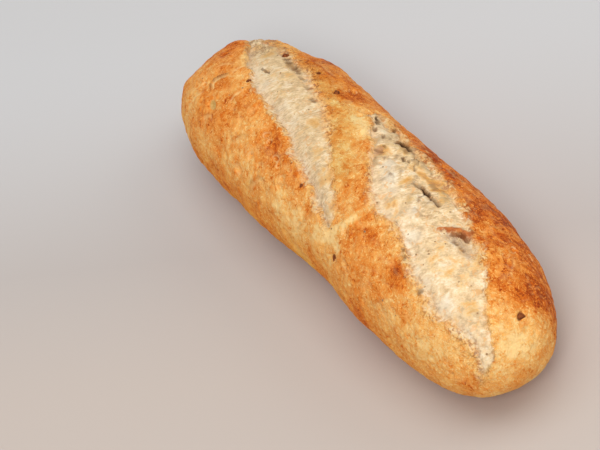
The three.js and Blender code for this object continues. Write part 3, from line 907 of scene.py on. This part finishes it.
class Tree:
    """A short way to write a material's nodes."""

    def __init__(self, name):
        self.material = bpy.data.materials.new(name)
        self.material.use_nodes = True
        self.nodes = self.material.node_tree.nodes
        self.links = self.material.node_tree.links
        self.nodes.clear()
        self.place = self.add("TexCoord").outputs["Object"]

    def put(self, socket, value):
        """Fill an input with a node's output, a named attribute or a plain value."""
        if isinstance(value, str):
            value = self.add("Attribute", attribute_name=value).outputs["Fac"]
        if isinstance(value, bpy.types.NodeSocket):
            self.links.new(value, socket)
        else:
            socket.default_value = value

    def add(self, kind, inputs=None, **settings):
        node = self.nodes.new("ShaderNode" + kind)
        for name, value in settings.items():
            setattr(node, name, value)
        for name, value in (inputs or {}).items():
            self.put(node.inputs[name], value)
        return node

    def math(self, operation, *values, clamp=False):
        node = self.add("Math", dict(enumerate(values)), operation=operation, use_clamp=clamp)
        return node.outputs[0]

    def times(self, first, second):
        return self.math("MULTIPLY", first, second)

    def total(self, start, *parts):
        """Start, and each value as many times as its amount."""
        for value, amount in parts:
            start = self.math("MULTIPLY_ADD", value, amount, start)
        return start

    def spread(self, start, *parts):
        """Start, and each noise, centred on 0, as many times as its amount."""
        for value, amount in parts:
            start = self.math("ADD", self.total(-amount / 2, (value, amount)), start)
        return start

    def noise(self, size, detail=2.0, distortion=0.0, roughness=0.5, at=None):
        vector = self.place if at is None else at
        inputs = {"Vector": vector, "Scale": 1 / size, "Detail": detail}
        inputs |= {"Distortion": distortion, "Roughness": roughness}
        return self.add("TexNoise", inputs).outputs["Fac"]

    def band(self, value, low, high):
        inputs = {"Value": value, "From Min": low, "From Max": high}
        return self.add("MapRange", inputs, interpolation_type="SMOOTHSTEP").outputs[0]

    def ramp(self, value, stops):
        """A colour for each value. Stops: place and display colour."""
        node = self.add("ValToRGB", {"Fac": value})
        elements = node.color_ramp.elements
        while len(elements) < len(stops):
            elements.new(0.5)
        for element, (place, colour) in zip(elements, stops):
            element.position, element.color = place, srgb(*colour)
        return node.outputs["Color"]

    def mix(self, share, first, second, blend="MIX"):
        """Mix two of nodes' outputs or display colours."""
        node = self.add("Mix", data_type="RGBA", blend_type=blend)
        for number, value in ((0, share), (6, first), (7, second)):
            self.put(node.inputs[number], srgb(*value) if isinstance(value, tuple) else value)
        return node.outputs[2]

    def tint(self, base, share, amount, colour):
        """Mix a colour over base; amount is how much of it shows where share is 1."""
        return self.mix(self.times(share, amount), base, colour)

    def tints(self, base, table, shares):
        """Lay a table's tints over base, each by its share or its attribute."""
        for name, amount, colour in table:
            base = self.tint(base, shares.get(name, name), amount, colour)
        return base

    def finish(self, **inputs):
        shader = self.add("BsdfPrincipled", {k.replace("_", " "): v for k, v in inputs.items()})
        self.add("OutputMaterial", {"Surface": shader.outputs[0]})
        return self.material


class BreadTree(Tree):
    """The bread's nodes, with the noises that its colours and its bumps share."""

    def __init__(self):
        super().__init__("bread")
        self.broad = self.noise(0.02, 2)
        self.mottle = self.noise(0.0075, 3, 0.8)
        self.patchy = self.noise(0.0035, 3, 0.8)
        self.granule = self.noise(0.0021, 2, 1.4)
        self.grainy = self.noise(0.0018, 2, 0.8, 0.6)
        self.speckle = self.noise(0.0009, 1, 0.4)


def crust_colour(t):
    """The crust, from pale gold to deep red-brown; and where skin lines and dark spots are."""
    bake_and_light = t.spread("baked", (t.broad, 0.8), (t.mottle, 0.8), (t.patchy, 0.7))
    bake_and_light = t.spread(bake_and_light, (t.grainy, 0.5), (t.speckle, 0.08))
    stretched = t.band(t.spread("stretched", (t.patchy, 1.2)), 0.2, 0.9)
    line = t.math("ABSOLUTE", t.spread(0, (t.noise(0.0022, 1.5, 1.8), 1)))
    skin = t.times(t.band(line, 0.034, 0.004), t.band(t.mottle, 0.34, 0.5))
    flecks = t.band(t.noise(0.0016, 1, 1.6), 0.58, 0.68)
    spots = t.band(t.noise(0.0026, 2, 1.2), 0.39, 0.31)
    bake_and_light = t.total(bake_and_light, (stretched, -0.34), (skin, -0.36), (flecks, -0.26), (spots, 0.26))
    crust = t.ramp(t.math("ADD", bake_and_light, PLAIN_TOAST), CRUST_STOPS)

    rim = t.times(t.band("grain", 0.08, 0.35), t.band("grain", 0.9, 0.5))
    rim = t.times(rim, t.band(t.patchy, 0.4, 0.6))
    crust = t.tints(crust, CRUST_TINTS, {"grain_rim": rim})
    # painted warm reflection and shade on the lower sides
    crust = t.mix("low", crust, LOW_WARM_REFLECTION, "MULTIPLY")
    crust = t.mix("tan", crust, TAN_FILTER, "MULTIPLY")
    kernel, seed = t.band("pale_grain", 0.35, 0.8), t.band("brown_grain", 0.3, 0.7)
    crust = t.tint(crust, kernel, 0.75, t.ramp(t.grainy, KERNEL_STOPS))
    crust = t.tint(crust, seed, 0.85, t.ramp(t.speckle, SEED_STOPS))
    return crust, skin, spots


def fringe_over(t, crust, edge):
    """The crust with the ragged gold fringe beside the crumb; and where that is."""
    deep = t.band("fringe", 4.4, 7)
    grit = t.spread(t.grainy, (t.patchy, 0.8), (t.speckle, 0.5), (t.granule, 1.8))
    fringe = t.mix(deep, t.ramp(grit, FRINGE_STOPS), DEEP_FRINGE_FILTER, "MULTIPLY")
    # painted shade where the granules are lowest
    fringe = t.tint(fringe, t.band(t.granule, 0.47, 0.38), 0.8, FRINGE_GAP_SHADE)
    gold = t.band(edge, t.times("fringe", -1), -0.2)
    gold = t.times(gold, t.total(0.45, (t.band(t.noise(0.009, 2), 0.38, 0.6), 0.5)))
    gold = t.math("MULTIPLY", gold, t.total(1, (deep, 0.4)), clamp=True)
    return t.mix(gold, crust, fringe), gold


def crumb_colour(t):
    """Woolly cream, singed gold here and there, with grey-brown painted shade in its openings,
    hollows and pits; and its strands.
    """
    strands = t.add("Mapping", {"Vector": t.place, "Rotation": (0, 0, -FIBRE_TURN)}).outputs[0]
    shrunk = (1 / FIBRE_STRETCH, 1, FIBRE_FLATNESS)
    strands = t.add("Mapping", {"Vector": strands, "Scale": shrunk}).outputs[0]
    thread = t.noise(0.0007, 3, 0.8, 0.6, at=strands)
    fibre = t.times(t.spread(0, (thread, 1)), t.total(1, ("smooth", -0.6)))
    wool = t.total(t.spread(0.47, (t.mottle, 0.7)), (fibre, 1.1))
    cream = t.ramp(t.spread(wool, (t.patchy, 0.7), (t.speckle, 0.3)), CREAM_STOPS)
    singe = t.total(t.noise(0.007, 3, 0.6), ("singed", 0.2))
    singe = t.spread(singe, (t.patchy, 0.5), (thread, 0.5))
    cream = t.tint(cream, t.band(singe, 0.5, 0.85), 0.85, t.ramp(singe, SINGED_STOPS))

    rough = t.band(t.spread(t.grainy, (t.granule, 1.2)), 0.5, 0.62)
    shadowy = t.band(t.spread(t.grainy, (t.patchy, 0.6)), 0.25, 0.6)
    shares = {
        "white": t.band(t.times("singed", -1), 0.2, 1),
        "peach": t.band(t.noise(0.0029, 2, 1), 0.58, 0.67),
        "green": t.times("green", t.band(t.patchy, 0.4, 0.65)),
        "rough_tip": t.times("rough_tip", rough),
        # painted shade in the hollow under the flap
        "hollow": t.times("hollow", shadowy),
        # painted shade in the spaces between strands near the lip
        "strand_gap_shade": t.times(t.band(thread, 0.4, 0.3), "near_lip"),
    }
    return t.tints(cream, CRUMB_TINTS, shares), fibre


def cracks_over(t, colour):
    """A colour with the flap's browned edge, and with the cracks' painted shade: dark inside a
    brown rim.
    """
    browned = t.band(t.spread("curl", (t.grainy, 1.4)), 0.2, 0.9)
    colour = t.tint(colour, browned, 0.9, t.ramp(t.patchy, FLAP_STOPS))
    crack = t.math("SUBTRACT", 1, t.math("ABSOLUTE", "crack"))
    crack = t.spread(crack, (t.grainy, 0.9), (t.patchy, 0.7))
    rim = t.times(t.band(crack, 0.15, 0.55), "crack_dark")
    inner = t.times(t.band(crack, 0.36, 0.7), "crack_dark")
    shade_black = t.mix(t.band("curl", 0.04, 0.3), CRACK_SHADE_BLACK, FLAP_SLIT_SHADE)
    return t.mix(inner, t.mix(rim, colour, CRACK_RIM_SHADE), shade_black)


def bread_material():
    t = BreadTree()
    edge = t.spread("edge", (t.patchy, 5), (t.grainy, 2.5), (t.speckle, 0.8))
    crust, skin, spots = crust_colour(t)
    crust, gold = fringe_over(t, crust, edge)
    crumb, fibre = crumb_colour(t)
    soft = t.total(0.8, ("fringe", 0.4))
    inside = t.band(edge, t.times(soft, -1), soft)

    crust_bump = t.total(t.patchy, (t.grainy, 1), (t.speckle, 0.25))
    golden = t.times(gold, t.granule)
    crust_bump = t.total(crust_bump, (golden, 2.6), (skin, 0.16), (spots, -0.2))
    crumb_bump = t.times(t.total(fibre, (t.grainy, 0.7)), 0.8)
    height = t.mix(inside, crust_bump, crumb_bump)
    bump = t.add("Bump", {"Height": height, "Strength": 0.65, "Distance": 0.0011})
    return t.finish(
        Base_Color=cracks_over(t, t.mix(inside, crust, crumb)),
        Roughness=t.total(t.spread(0.62, (t.grainy, 0.4)), (inside, 0.25)),
        Normal=bump.outputs[0],
        Subsurface_Weight=0.06,
        Subsurface_Radius=(1, 0.5, 0.25),
        Subsurface_Scale=0.002,
        Specular_IOR_Level=0.1,
    )


def grain_material(name, dark, light):
    t = Tree(name)
    veins = t.noise(0.0011, 3, 0.6)
    colour = t.ramp(veins, [(0.35, dark), (0.65, light)])
    bump = t.add("Bump", {"Height": veins, "Strength": 0.4, "Distance": 0.0004})
    normal = bump.outputs[0]
    return t.finish(Base_Color=colour, Roughness=0.6, Normal=normal, Specular_IOR_Level=0.1)


def floor_material():
    t = Tree("floor_paint_and_shade")
    rotation = (0, 0, math.radians(FLOOR_TURN))
    towards = t.add("Mapping", {"Vector": t.place, "Rotation": rotation}).outputs[0]
    towards = t.add("SeparateXYZ", {"Vector": towards}).outputs["X"]
    # painted shadow and warm reflection across the floor, changing along one way
    tint = t.total(t.band(towards, *FLOOR_CHANGE), (t.noise(0.4, 2), 0.06))
    colour = t.ramp(tint, FLOOR_SHADE_STOPS)
    return t.finish(Base_Color=colour, Roughness=0.9, Specular_IOR_Level=0.2)


# ---- The set ----
def make_floor():
    bpy.ops.mesh.primitive_plane_add(size=FLOOR_SIZE)
    floor = bpy.context.object
    floor.name = "floor"
    floor.data.materials.append(floor_material())


def make_lights():
    for name, place, size, power in SOFTBOXES:
        data = bpy.data.lights.new(name, "AREA")
        data.shape = "SQUARE"
        data.size, data.energy = size, power
        light = new_object(name, data)
        light.location = place
        light.rotation_euler = (-Vector(place)).to_track_quat("-Z", "Y").to_euler()
    world = bpy.data.worlds.new("studio")
    bpy.context.scene.world = world
    world.use_nodes = True
    background = world.node_tree.nodes["Background"]
    background.inputs["Color"].default_value = (1, 1, 1, 1)
    background.inputs["Strength"].default_value = WORLD_STRENGTH


def make_camera(offset):
    azimuth, elevation, roll = (math.radians(angle) for angle in CAMERA_ANGLES)
    turn = Matrix.Rotation(azimuth, 3, "Z") @ Matrix.Rotation(math.pi / 2 - elevation, 3, "X")
    turn = turn @ Matrix.Rotation(roll, 3, "Z")
    back = turn.col[2].copy()
    # a little aside, so that the target lies at its pixel
    aside, above = IMAGE_WIDTH / 2 - TARGET_PIXEL[0], TARGET_PIXEL[1] - IMAGE_HEIGHT / 2
    ahead = Vector((aside, above, -FOCAL_PIXELS)).normalized()
    right = (Vector((1, 0, 0)) - ahead.x * ahead).normalized()
    turn = turn @ Matrix((right, right.cross(ahead), -ahead)).transposed()
    data = bpy.data.cameras.new("camera")
    data.sensor_width = SENSOR_WIDTH
    data.lens = SENSOR_WIDTH * FOCAL_PIXELS / IMAGE_WIDTH
    camera = new_object("camera", data)
    target = Vector(CAMERA_TARGET) * MM + offset
    camera.matrix_world = Matrix.Translation(target + CAMERA_DISTANCE * back) @ turn.to_4x4()
    bpy.context.scene.camera = camera


def main():
    loaf, grid, offset = make_loaf()
    loaf.data.materials.append(bread_material())
    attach(loaf, "root")
    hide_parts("loaf")
    make_grains(grid, offset)
    make_specks(grid, offset)
    make_floor()
    make_lights()
    make_camera(offset)
    bpy.context.scene.view_settings.view_transform = "Standard"


main()
